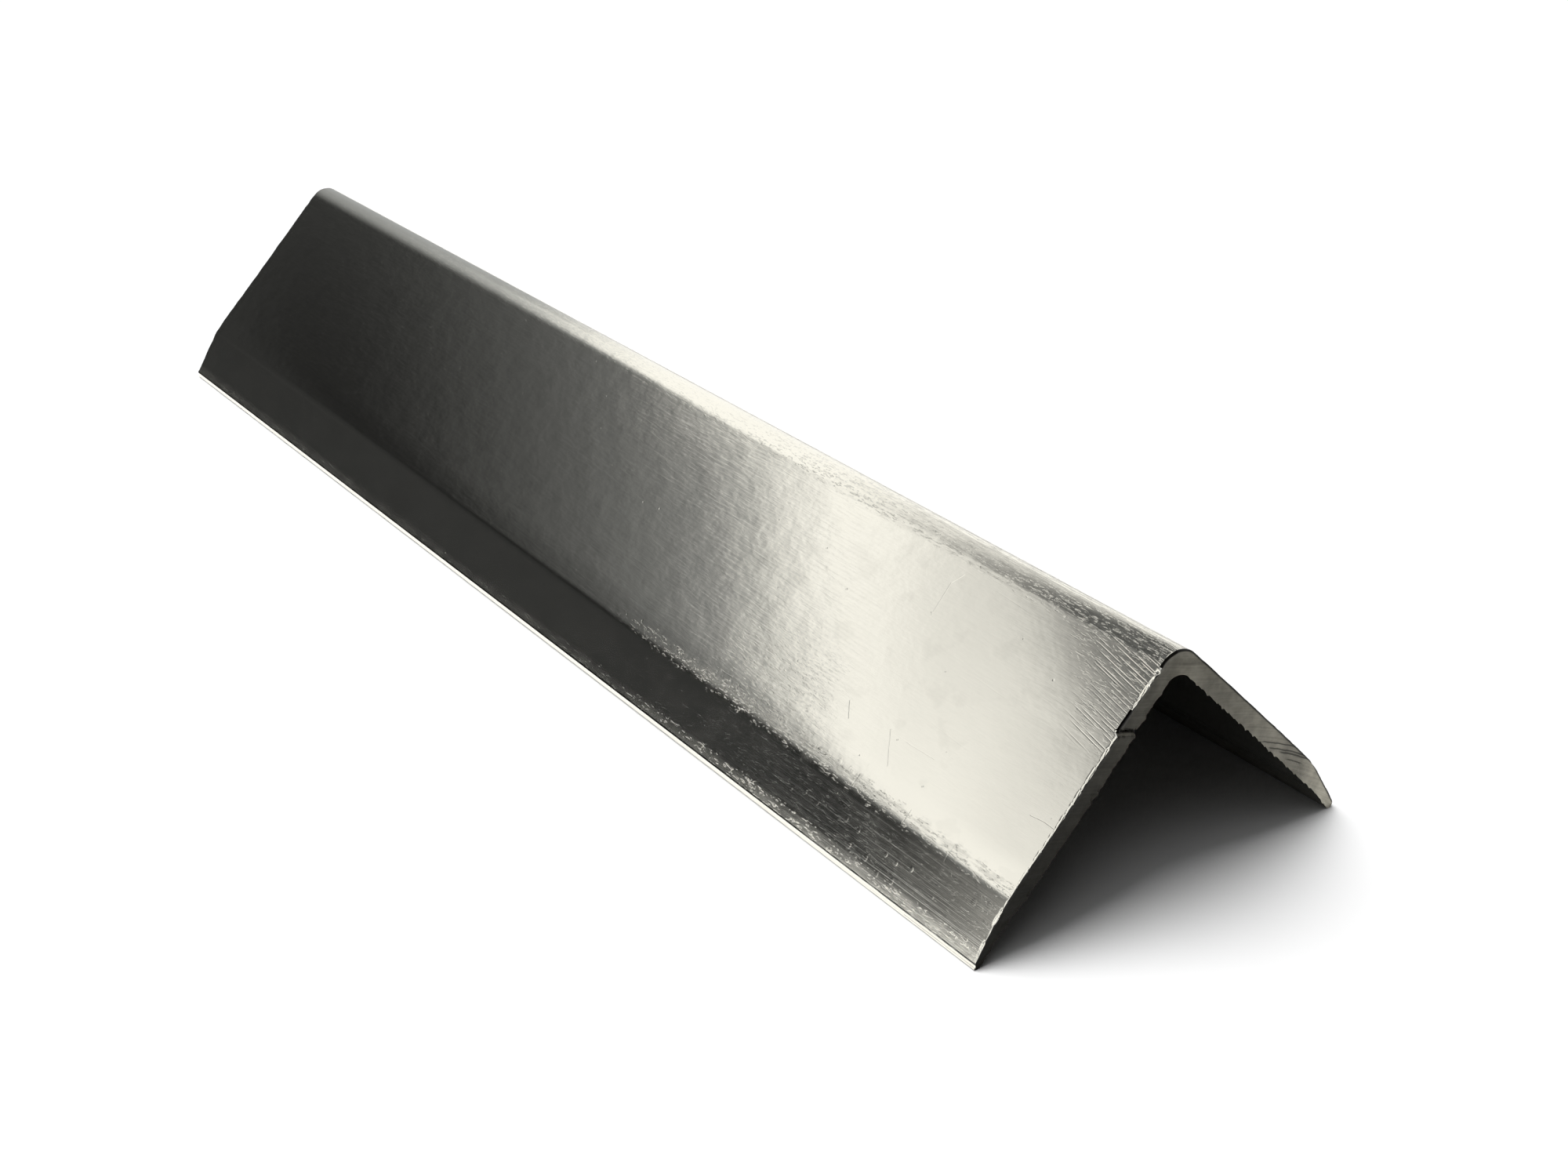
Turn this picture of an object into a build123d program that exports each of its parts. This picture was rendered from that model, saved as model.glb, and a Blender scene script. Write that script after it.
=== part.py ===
from build123d import *
import os
from math import atan2, cos, pi, sin, sqrt, tan

# Equal-leg metal angle: one straight extruded piece, sawn to length. It stands like a tent, on its two
# toes with the heel up. X runs along the stock and Z is up. The origin is at mid-length, on the floor,
# midway between the toes. Millimetres.

# Driving dimensions
LEG_WIDTH = 25.0      # along each outer face, from the sharp heel corner to the toe's end
WALL = 1.5            # thickness of each leg
LENGTH = 130.0        # between the sawn ends
HEEL_RADIUS = 2.0     # outer rounding where the legs meet
ROOT_RADIUS = 1.2     # inner rounding where the legs meet
TAPER_LENGTH = 5.0    # last stretch of the outer face, which slopes in towards the toe
TAPER_BLEND = 3.0     # radius between the flat outer face and that slope
LIP_LENGTH = 2.5      # last stretch of the inner face, which leans inwards
LIP_RISE = 0.3        # how far the lip leans in, at the toe's end
LIP_BLEND = 8.0       # radius between the flat inner face and the lip
TOE_THICKNESS = 0.7   # between the slope and the lip at the toe's end, before it is rounded

# The section is drawn in leg coordinates: x along one leg and y along the other, both from the sharp
# heel corner. The corner points here are those of the leg along x.
taper_drop = WALL + LIP_RISE - TOE_THICKNESS
taper_angle = atan2(taper_drop, TAPER_LENGTH)
lip_angle = atan2(LIP_RISE, LIP_LENGTH)
heel = Vector(0, 0)
root = Vector(WALL, WALL)
taper_start = Vector(LEG_WIDTH - TAPER_LENGTH, 0)
lip_start = Vector(LEG_WIDTH - LIP_LENGTH, WALL)

# One arc rounds the whole toe. It touches the slope, the toe's end and the lip.
slope_to_end = tan(pi / 4 - taper_angle / 2)
end_to_lip = tan(pi / 4 + lip_angle / 2)
toe_radius = TOE_THICKNESS / (slope_to_end + end_to_lip)
toe_end = Vector(LEG_WIDTH, taper_drop + toe_radius * slope_to_end)
toe_centre = toe_end - Vector(toe_radius, 0)
slope_touch = toe_centre + Vector(sin(taper_angle), -cos(taper_angle)) * toe_radius
lip_touch = toe_centre + Vector(-sin(lip_angle), cos(lip_angle)) * toe_radius

# Both legs run down at 45 degrees, so the lowest point of each toe is on its arc, straight below the
# arc's centre.
heel_height = (toe_centre.X + toe_centre.Y) / sqrt(2) + toe_radius
end_plane = Plane(origin=(-LENGTH / 2, 0, heel_height), x_dir=(0, -1, -1), z_dir=(1, 0, 0))
between_legs = Plane(origin=(0, 0, 0), z_dir=(1, -1, 0))

os.makedirs("parts", exist_ok=True)

with BuildPart() as angle_section:
    with BuildSketch(end_plane) as section:
        with BuildLine():
            FilletPolyline(heel, taper_start, slope_touch, radius=[TAPER_BLEND])
            ThreePointArc(slope_touch, toe_end, lip_touch)
            FilletPolyline(lip_touch, lip_start, root, radius=[LIP_BLEND])
            mirror(about=between_legs)
        make_face()
        fillet(section.vertices().sort_by_distance(heel)[0], HEEL_RADIUS)
        fillet(section.vertices().sort_by_distance(root)[0], ROOT_RADIUS)
    extrude(amount=LENGTH)

angle_section.part.label = "angle_section"
export_step(angle_section.part, "parts/angle_section.step")
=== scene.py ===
from functools import partialmethod
from math import atan2, cos, pi, radians, sin, sqrt, tan

import bpy
import numpy as np
from mathutils import Matrix, Vector

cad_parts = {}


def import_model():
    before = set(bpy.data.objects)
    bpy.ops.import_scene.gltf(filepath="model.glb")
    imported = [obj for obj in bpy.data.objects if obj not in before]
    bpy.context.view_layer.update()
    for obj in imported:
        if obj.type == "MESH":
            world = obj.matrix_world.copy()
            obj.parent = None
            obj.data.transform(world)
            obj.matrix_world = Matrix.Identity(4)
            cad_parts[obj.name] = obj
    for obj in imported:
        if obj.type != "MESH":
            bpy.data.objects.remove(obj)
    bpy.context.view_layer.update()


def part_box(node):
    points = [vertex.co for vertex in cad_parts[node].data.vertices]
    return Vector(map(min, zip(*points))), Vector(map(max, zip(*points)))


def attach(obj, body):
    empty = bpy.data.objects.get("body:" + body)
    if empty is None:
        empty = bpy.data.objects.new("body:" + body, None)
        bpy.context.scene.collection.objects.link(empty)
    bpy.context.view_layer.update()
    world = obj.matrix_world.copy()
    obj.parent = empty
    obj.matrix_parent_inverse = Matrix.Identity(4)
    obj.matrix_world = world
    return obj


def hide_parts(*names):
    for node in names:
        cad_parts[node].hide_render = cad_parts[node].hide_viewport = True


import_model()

MM = 0.001
NODE = "angle_section"

# The section, in millimetres, as the CAD node has it.
LEG_WIDTH = 25.0
WALL = 1.5
HEEL_RADIUS = 2.0
ROOT_RADIUS = 1.2
TAPER_LENGTH = 5.0
TAPER_BLEND = 3.0
LIP_LENGTH = 2.5
LIP_RISE = 0.3
LIP_BLEND = 8.0
TOE_THICKNESS = 0.7
SHOULDER = LEG_WIDTH - TAPER_LENGTH  # where the taper begins, down the leg
TAPER_DROP = WALL + LIP_RISE - TOE_THICKNESS  # how far the outer surface falls from there to the toe

# Pieces of each stretch of the outline, from the bend to the toe.
BEND_PIECES = 10
FLAT_PIECES = 150
BLEND_PIECES = 6
SLOPE_PIECES = 30
TOE_PIECES = 8
END_CELLS = 14  # across the wall, on the sawn faces
SKIN = 0.006  # the surface lies this far inside the CAD solid, so that it stays in its box

box_low, box_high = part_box(NODE)
HALF_LENGTH = (box_high.x - box_low.x) / 2 / MM


# ---- section

def corner_arc(corner, into, out, radius, pieces):
    """Points of the fillet at a corner between two directions of travel."""
    corner, into, out = (np.array(v, float) for v in (corner, into, out))
    turn = atan2(into[0] * out[1] - into[1] * out[0], float(into @ out))
    start = corner - into * radius * tan(abs(turn) / 2)
    to_centre = np.array([-into[1], into[0]]) * np.sign(turn)
    centre = start + to_centre * radius
    spoke = start - centre
    angles = np.linspace(0, turn, pieces + 1)
    return np.array([centre + np.array([spoke[0] * cos(a) - spoke[1] * sin(a),
                                        spoke[0] * sin(a) + spoke[1] * cos(a)]) for a in angles])


def straight(start, end, pieces):
    """Points between two points, without the first."""
    return np.linspace(start, end, pieces + 1)[1:]


def leg_paths():
    """Outer and inner outline of one leg, from the bend to the middle of the toe, and the heel's height."""
    slope, lean = atan2(TAPER_DROP, TAPER_LENGTH), atan2(LIP_RISE, LIP_LENGTH)
    outer_share, inner_share = tan(pi / 4 - slope / 2), tan(pi / 4 + lean / 2)
    toe_radius = TOE_THICKNESS / (outer_share + inner_share)
    toe_centre = np.array([LEG_WIDTH - toe_radius, TAPER_DROP + toe_radius * outer_share])

    def toe_arc(start, end):
        angles = np.linspace(start, end, TOE_PIECES + 1)
        return toe_centre + toe_radius * np.stack([np.cos(angles), np.sin(angles)], 1)

    heel = corner_arc((0, 0), (0, -1), (1, 0), HEEL_RADIUS, 2 * BEND_PIECES)[BEND_PIECES:]
    blend = corner_arc((SHOULDER, 0), (1, 0), (cos(slope), sin(slope)), TAPER_BLEND, BLEND_PIECES)
    arc = toe_arc(slope - pi / 2, 0)
    outer = np.vstack([heel, straight(heel[-1], blend[0], FLAT_PIECES), blend[1:],
                       straight(blend[-1], arc[0], SLOPE_PIECES), arc[1:]])

    root = corner_arc((WALL, WALL), (0, -1), (1, 0), ROOT_RADIUS, 2 * BEND_PIECES)[BEND_PIECES:]
    lip_start = (LEG_WIDTH - LIP_LENGTH, WALL)
    lip = corner_arc(lip_start, (1, 0), (cos(lean), sin(lean)), LIP_BLEND, BLEND_PIECES)
    inner_toe = toe_arc(pi / 2 + lean, 0)
    inner = np.vstack([root, straight(root[-1], lip[0], FLAT_PIECES), lip[1:],
                       straight(lip[-1], inner_toe[0], SLOPE_PIECES), inner_toe[1:]])
    heel_height = (toe_centre.sum()) / sqrt(2) + toe_radius
    return outer, inner, heel_height


OUTER_LEG, INNER_LEG, HEEL_HEIGHT = leg_paths()


def worn_flat(leg):
    """The outer path with its rounded toe worn flat, as the left toe is."""
    corner = len(leg) - TOE_PIECES - 1
    return np.vstack([leg[:corner], np.linspace(leg[corner], leg[-1], TOE_PIECES + 1)])


def both_legs(left, right):
    """Both paths as one line from the left toe over the bend to the right toe: along, depth and side."""
    left, right = left[::-1], right[1:]
    along = np.concatenate([left[:, 0], right[:, 0]])
    depth = np.concatenate([left[:, 1], right[:, 1]])
    side = np.concatenate([-np.ones(len(left)), np.ones(len(right))])
    return along, depth, side


def to_section(along, depth, side):
    """Leg coordinates to Y and Z, in millimetres."""
    return side * (along - depth) / sqrt(2), HEEL_HEIGHT - (along + depth) / sqrt(2)


def outline_ring():
    """The closed outline: signed distance from the heel, Y, Z, outward normal and count of outer points."""
    rows = []
    for left, right in ((worn_flat(OUTER_LEG), OUTER_LEG), (INNER_LEG, INNER_LEG)):
        along, depth, side = both_legs(left, right)
        y, z = to_section(along, depth, side)
        rows.append((side * along, y, z))
    signed, y, z = (np.concatenate([a, b[-2:0:-1]]) for a, b in zip(*rows))
    ty, tz = np.roll(y, -1) - np.roll(y, 1), np.roll(z, -1) - np.roll(z, 1)
    length = np.hypot(ty, tz)
    ny, nz = -tz / length, ty / length
    return signed, y - ny * SKIN, z - nz * SKIN, ny, nz, len(rows[0][0])


# ---- unevenness

WOBBLE_VALUES = 400  # random values along a line, after which they repeat
WOBBLE_START = 50.0  # the line's zero lies at this one


def smooth(value, low, high):
    t = np.clip((value - low) / (high - low), 0, 1)
    return t * t * (3 - 2 * t)


def wobble(place, pitch, seed):
    """Smooth noise from -1 to 1 along a line."""
    rng = np.random.default_rng(seed)
    values = rng.uniform(-1, 1, WOBBLE_VALUES)
    t = np.abs(place / pitch + WOBBLE_START)
    i = np.floor(t).astype(int) % (WOBBLE_VALUES - 1)
    f = t - np.floor(t)
    f = f * f * (3 - 2 * f)
    return values[i] * (1 - f) + values[i + 1] * f


def wavy(start, place, *waves):
    """A start value and some wobbles on it, each given by its height, pitch and seed."""
    for height, pitch, seed in waves:
        start = start + height * wobble(place, pitch, seed)
    return start


def teeth(place, pitch, wander, wander_pitch, seed):
    """A sawtooth from 0 to 1 along a line, of an uneven pitch."""
    turn = place / pitch + wander * wobble(place, wander_pitch, seed)
    return turn - np.floor(turn)


# ---- sawn ends

# How far the hand-sawn near end stops short of the full length, by the distance down each leg.
# The saw was set again once, seven millimetres down the left leg, which left a step and a nick there.
CUT_LEFT = ((0, 0.45), (2.5, 0.45), (5.2, 0.44), (7.15, 0.42), (7.2, 0.58), (7.3, 0.58), (7.5, 0.25),
            (8, 0.24), (10, 0.18), (13, 0.10), (16, 0.04), (20, 0.04), (22, 0.16), (25, 0.18))
CUT_RIGHT = ((0, 0.45), (2.5, 0.42), (4.0, 0.30), (8.0, 0.16), (14, 0.06), (20, 0.10), (25, 0.12))
NICK = 7.27
LEDGE = 7.45  # the lit ledge just below the nick
MIDDLE = (-1.0, 1.0)  # from the left leg's cut to the right one's, between these Y
NEAR_WAVES = (0.012, 0.7, 3)  # height, pitch and seed
FAR_SHORTFALL = 0.06
FAR_WAVES = ((0.03, 3.0, 11), (0.015, 0.6, 12))
STROKE_SLOPE = 0.3  # the saw's strokes fall this much in Z for each unit of Y


def stroke(y, z):
    """A coordinate across the saw's strokes: the same all along one stroke."""
    return z + STROKE_SLOPE * y


def near_shortfall(y, z):
    """How far the near cut lies short of the full length."""
    down = HEEL_HEIGHT - stroke(y, z)
    left = np.interp(down / ((1 + STROKE_SLOPE) * sqrt(0.5)), *zip(*CUT_LEFT))
    right = np.interp(down / ((1 - STROKE_SLOPE) * sqrt(0.5)), *zip(*CUT_RIGHT))
    return wavy(left + (right - left) * smooth(y, *MIDDLE), stroke(y, z), NEAR_WAVES)


def far_shortfall(y, z):
    return wavy(FAR_SHORTFALL, stroke(-y, z), *FAR_WAVES)


CHIPS = (0.45, 0.7)  # pitch of the chips along a worn edge, and how rare they are


def worn(signed, seed, pitch, low, high):
    """Ragged depth along an edge, between low and high, with a few deeper chips."""
    rough = 0.5 + 0.5 * wobble(signed, pitch, seed)
    chip_pitch, rare = CHIPS
    chips = np.clip(wobble(signed, chip_pitch, seed + 2) - rare, 0, 1)
    return low + (high - low) * rough + chips * high


# How deep the near cut's outer edge is broken down the left leg: rounded at the heel, dented where the saw
# slipped and again below the step, and fine to the toe.
LEFT_BREAK = ((0, 0.10), (2.2, 0.10), (2.4, 0.02), (2.95, 0.02), (3.1, 0.15), (4.8, 0.09), (5.3, 0.03),
              (5.6, 0.005), (7.2, 0.005), (7.5, 0.08), (8.0, 0.09), (14, 0.07), (19, 0.05), (20.4, 0.02),
              (20.8, 0.02), (20.9, 0.10), (21.8, 0.12), (21.9, 0.02), (23.0, 0.02), (23.2, 0.07), (25, 0.06))
RIGHT_BREAK = (21, 0.5, 0.01, 0.05)  # seed, pitch, least and greatest depth
FAR_BREAK = (31, 0.5, 0.02, 0.08)
SCALLOPS = (1.25, 0.5, 2.3, 25)  # the left break runs in scallops: pitch, wander, its pitch, seed
SCALLOP_LEAST = 0.35  # their least share of the depth
SCALLOP_GRAIN = (0.25, 0.3, 24)
SLIP_BURR = (2.6, 0.28, 0.26)  # the burr left by a slip: place down the left leg, half width, height

# How far the broken edges and the burr reach along the stock.
BREAK_REACH = 0.15
FULL_BREAK = 0.08  # a left break less deep than this reaches less far
LEAST_SHARE = 0.1  # but no less than this share
RIGHT_REACH = 2.0  # times its depth
FAR_REACH = 1.5  # times its depth
LEAST_REACH = 0.03
BURR_REACH = 0.30
BREAK_CURVE = 1.5  # power by which a break fades out
SLIP_REACH = 0.2
SLIP_RISE = 0.3  # the slip's burr also stands out from the face by this share of its height


def outer_break(signed):
    scallop = wavy(SCALLOP_LEAST + teeth(signed, *SCALLOPS), signed, SCALLOP_GRAIN)
    left = np.interp(-signed, *zip(*LEFT_BREAK)) * scallop
    return np.where(signed < 0, left, worn(signed, *RIGHT_BREAK))


def slip_burr(signed, is_outer):
    place, half, height = SLIP_BURR
    return np.where(is_outer, height * np.clip(1 - np.abs(-signed - place) / half, 0, 1), 0.0)


BURR_TEETH = (0.93, 0.35, 1.7)  # pitch, wander and its pitch
BURR_HUMPS = (2.7, 0.3, 3.1)  # broader ones, on the left leg only
HUMP_SHARE = 0.8  # as a share of a tooth's height
BURR_HEIGHT = 0.17
BURR_GRAIN = (0.05, 0.25)  # height and pitch
BURR_SHARE = 0.65  # its middle height, as a share
BURR_SWELL = (0.35, 2.3)  # height and pitch of its slow change about that
BURR_START = (WALL + 0.7, WALL + 2.2)  # it starts past the root, between these places down the leg
BURR_END = (LEG_WIDTH - 1.2, LEG_WIDTH - 0.2)  # and ends between these
BURR_SEEDS = (51, 61)  # at the near and at the far end


def inner_burr(signed, seed):
    """How far the saw's burr stands into the hollow: a tooth about every millimetre."""
    tooth = teeth(signed, *BURR_TEETH, seed) ** 3
    hump = teeth(signed, *BURR_HUMPS, seed + 3) ** 2
    tooth = np.where(signed < 0, tooth + HUMP_SHARE * hump, tooth)
    height = wavy(BURR_HEIGHT * tooth, signed, (*BURR_GRAIN, seed + 1))
    height = height * wavy(BURR_SHARE, signed, (*BURR_SWELL, seed + 2))
    return height * smooth(np.abs(signed), *BURR_START)


STROKE_CURVE = 0.02  # beyond the next place to the right the strokes curve down more and more
CURVE_START = 6.0
GROOVES = ((0.014, 0.35), (0.010, 0.15))  # depth and pitch of the blade's grooves
DEEPER = 1.6  # how much deeper they are near the right toe
DEEPER_FROM = (8.0, 10.5)  # between these Y they get deeper
DEEPER_TO = (12.5, 14.5)  # and between these less deep again
GROOVE_BED = 0.024  # the middle of the grooves lies this far in, so that no crest stands out
RIM_SHARE = 0.2  # share of the wall over which they fade out to each edge
SAW_SEEDS = (41, 45)


def stroke_line(y, z):
    """A coordinate across the visible strokes of the saw."""
    return stroke(y, z) + STROKE_CURVE * np.maximum(y - CURVE_START, 0) ** 2


def saw_relief(y, z, seed):
    """Grooves that the blade's teeth left across the sawn face, deeper near the right toe."""
    across = stroke_line(y, z)
    deep = 1 + DEEPER * smooth(y, *DEEPER_FROM) * (1 - smooth(y, *DEEPER_TO))
    return deep * sum(depth * wobble(across, pitch, seed + i) for i, (depth, pitch) in enumerate(GROOVES))


# ---- wear of the shape

SHOULDER_RADIUS = 16.0  # of the right leg's rubbed shoulder
# The left face sags by about this much just above the taper: where it starts, is steepest and ends.
SAG_DEPTH = 0.035
SAG_PLACES = (17.4, 19.5, 20.3)
# The toe is rubbed off along the near end: how deep at most, how far up the taper, and its share at each X.
RUB_DEPTH = 0.08
RUB_REACH = 1.8
RUB_ALONG = ((30, 0.0), (40, 0.15), (50, 0.45), (56, 0.75), (65, 1.0))


def rubbed_shoulder(signed):
    """How far the right leg's shoulder is rubbed down, to a rounder blend than the left one's."""
    reach = SHOULDER_RADIUS * tan(atan2(TAPER_DROP, TAPER_LENGTH) / 2)
    away = np.abs(signed - SHOULDER)
    return np.clip(reach - away, 0, None) ** 2 / (2 * SHOULDER_RADIUS)


def sag(signed):
    """How far the left leg's face sags before it breaks down to the taper, which stays lower by as much."""
    start, steepest, end = SAG_PLACES
    down = -signed
    before = np.clip((down - start) / (steepest - start), 0, 1)
    after = np.clip((down - steepest) / (end - steepest), 0, 1)
    share = before ** 2 + (2 * after - after ** 2) * (end - steepest) / (steepest - start)
    return share * SAG_DEPTH


def rubbed_toe(signed, x):
    """How far the taper is rubbed down towards the left toe: more and more towards the near end."""
    share = np.clip(1 - (LEG_WIDTH + signed) / RUB_REACH, 0, 1) ** 2
    return share * RUB_DEPTH * np.interp(x, *zip(*RUB_ALONG))


# ---- mesh

STEP_FROM_CUT = (0.0, 0.03, 0.07, 0.12, 0.18, 0.26, 0.36, 0.5, 0.75, 1.2, 2.0, 3.2, 5.0, 7.5)
SETTLE = 5.0  # the cut's unevenness fades out over this length
MIDDLE_STATIONS = 36


def stations():
    """Places along the stock, close together at the cuts."""
    near = [HALF_LENGTH - d for d in STEP_FROM_CUT]
    far = [-HALF_LENGTH + d for d in STEP_FROM_CUT]
    middle = list(np.linspace(near[-1], far[-1], MIDDLE_STATIONS + 2)[1:-1])
    return near + middle + far[::-1]


def faded(depth, distance, reach):
    return depth * np.clip(1 - distance / reach, 0, 1) ** BREAK_CURVE


def section_rings():
    """The outline at each station, worn and broken, and how many of its points are on the outside."""
    signed, y, z, ny, nz, outer_count = outline_ring()
    is_outer = np.arange(len(signed)) < outer_count
    toe = smooth(np.abs(signed), *BURR_END)
    near_burr, far_burr = (-inner_burr(signed, seed) * (1 - toe) for seed in BURR_SEEDS)
    near_depth = np.where(is_outer, outer_break(signed), near_burr)
    far_depth = np.where(is_outer, worn(signed, *FAR_BREAK), far_burr)
    left_reach = BREAK_REACH * np.clip(near_depth / FULL_BREAK, LEAST_SHARE, 1)
    reach = np.where(signed < 0, left_reach, near_depth * RIGHT_REACH)
    near_reach = np.where(is_outer, np.maximum(reach, LEAST_REACH), BURR_REACH)
    far_reach = np.where(is_outer, np.maximum(far_depth * FAR_REACH, LEAST_REACH), BURR_REACH)
    near_short, far_short = near_shortfall(y, z), far_shortfall(y, z)
    rings = []
    for x in stations():
        from_near, from_far = HALF_LENGTH - x, x + HALF_LENGTH
        pull = near_short * (1 - smooth(from_near, 0, SETTLE)) - far_short * (1 - smooth(from_far, 0, SETTLE))
        inset = faded(near_depth, from_near, near_reach) + faded(far_depth, from_far, far_reach)
        inset = inset + is_outer * (rubbed_shoulder(signed) + sag(signed) + rubbed_toe(signed, x))
        lift = slip_burr(signed, is_outer) * np.clip(1 - from_near / SLIP_REACH, 0, 1)
        inset = inset - SLIP_RISE * lift
        rings.append(np.stack([x - pull + lift, y - ny * inset, z - nz * inset], 1))
    return rings, outer_count


def sawn_face(verts, faces, base, count, path, seed, facing):
    """Rows of cells from the outer to the inner edge of one end. facing is 1 at the near end, else -1."""
    outer_ids = [base + j for j in range(path)]
    inner_ids = ([base + path - 1] + [base + j for j in range(path, count)] + [base])[::-1]
    outer_points, inner_points = verts[outer_ids], verts[inner_ids]
    grid = [outer_ids]
    for c in range(1, END_CELLS):
        t = c / END_CELLS
        points = outer_points * (1 - t) + inner_points * t
        short = near_shortfall(points[:, 1], points[:, 2])
        flat = HALF_LENGTH - short if facing > 0 else points[:, 0]
        blend = smooth(np.minimum(t, 1 - t), 0.0, RIM_SHARE)
        points[:, 0] = points[:, 0] * (1 - blend) + flat * blend
        relief = saw_relief(points[:, 1], points[:, 2], seed)
        points[:, 0] -= facing * (GROOVE_BED + relief) * blend
        grid.append([outer_ids[0]] + list(range(len(verts), len(verts) + path - 2)) + [outer_ids[-1]])
        verts = np.vstack([verts, points[1:-1]])
    grid.append(inner_ids)
    for top, low in zip(grid, grid[1:]):
        for j in range(path - 1):
            corners = [top[j], top[j + 1], low[j + 1], low[j]]
            corners = [v for i, v in enumerate(corners) if v != corners[i - 1]]
            if len(corners) > 2:
                faces.append(tuple(corners if facing < 0 else corners[::-1]))
    return verts


SHADED_EDGE_RINGS = 4  # painted shade: the broken edge takes the cut's dark material this many rings in
SHADED_EDGE_DOWN = (2.35, 5.6, 7.25)  # down the left leg as far as the first place, and between the others


def shaded_edge_slots(path, count):
    """Material of each face in the rings next to the near cut: 1 where the broken edge takes the cut's dark
    material, as painted shade.
    """
    first, second, third = SHADED_EDGE_DOWN
    ring = [int(down < first or second < down < third) for down in -outline_ring()[0][:path - 1]]
    return (ring + [0] * (count - len(ring))) * SHADED_EDGE_RINGS


def section_mesh():
    """The whole closed mesh, with material 0 on its walls and material 1 on its sawn faces and, as painted
    shade, on part of the broken edge beside the near cut.
    """
    rings, path = section_rings()
    count = len(rings[0])
    faces = []
    for r in range(len(rings) - 1):
        a, b = r * count, (r + 1) * count
        faces += [(a + j, a + (j + 1) % count, b + (j + 1) % count, b + j) for j in range(count)]
    walls = len(faces)
    verts = np.concatenate(rings)
    verts = sawn_face(verts, faces, 0, count, path, SAW_SEEDS[0], 1)
    verts = sawn_face(verts, faces, (len(rings) - 1) * count, count, path, SAW_SEEDS[1], -1)
    mesh = bpy.data.meshes.new("angle_stock")
    mesh.from_pydata((verts * MM).tolist(), [], faces)
    # Painted shade: part of the broken edge beside the near cut takes the cut's dark material.
    edge_shade_slots = shaded_edge_slots(path, count)
    slots = edge_shade_slots + [0] * (walls - len(edge_shade_slots)) + [1] * (len(faces) - walls)
    mesh.polygons.foreach_set("material_index", slots)
    mesh.validate()
    return mesh


# ---- shader nodes

FAINT = 1e-9  # too small a share to change a value


def grey(level):
    return (level, level, level, 1)


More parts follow.
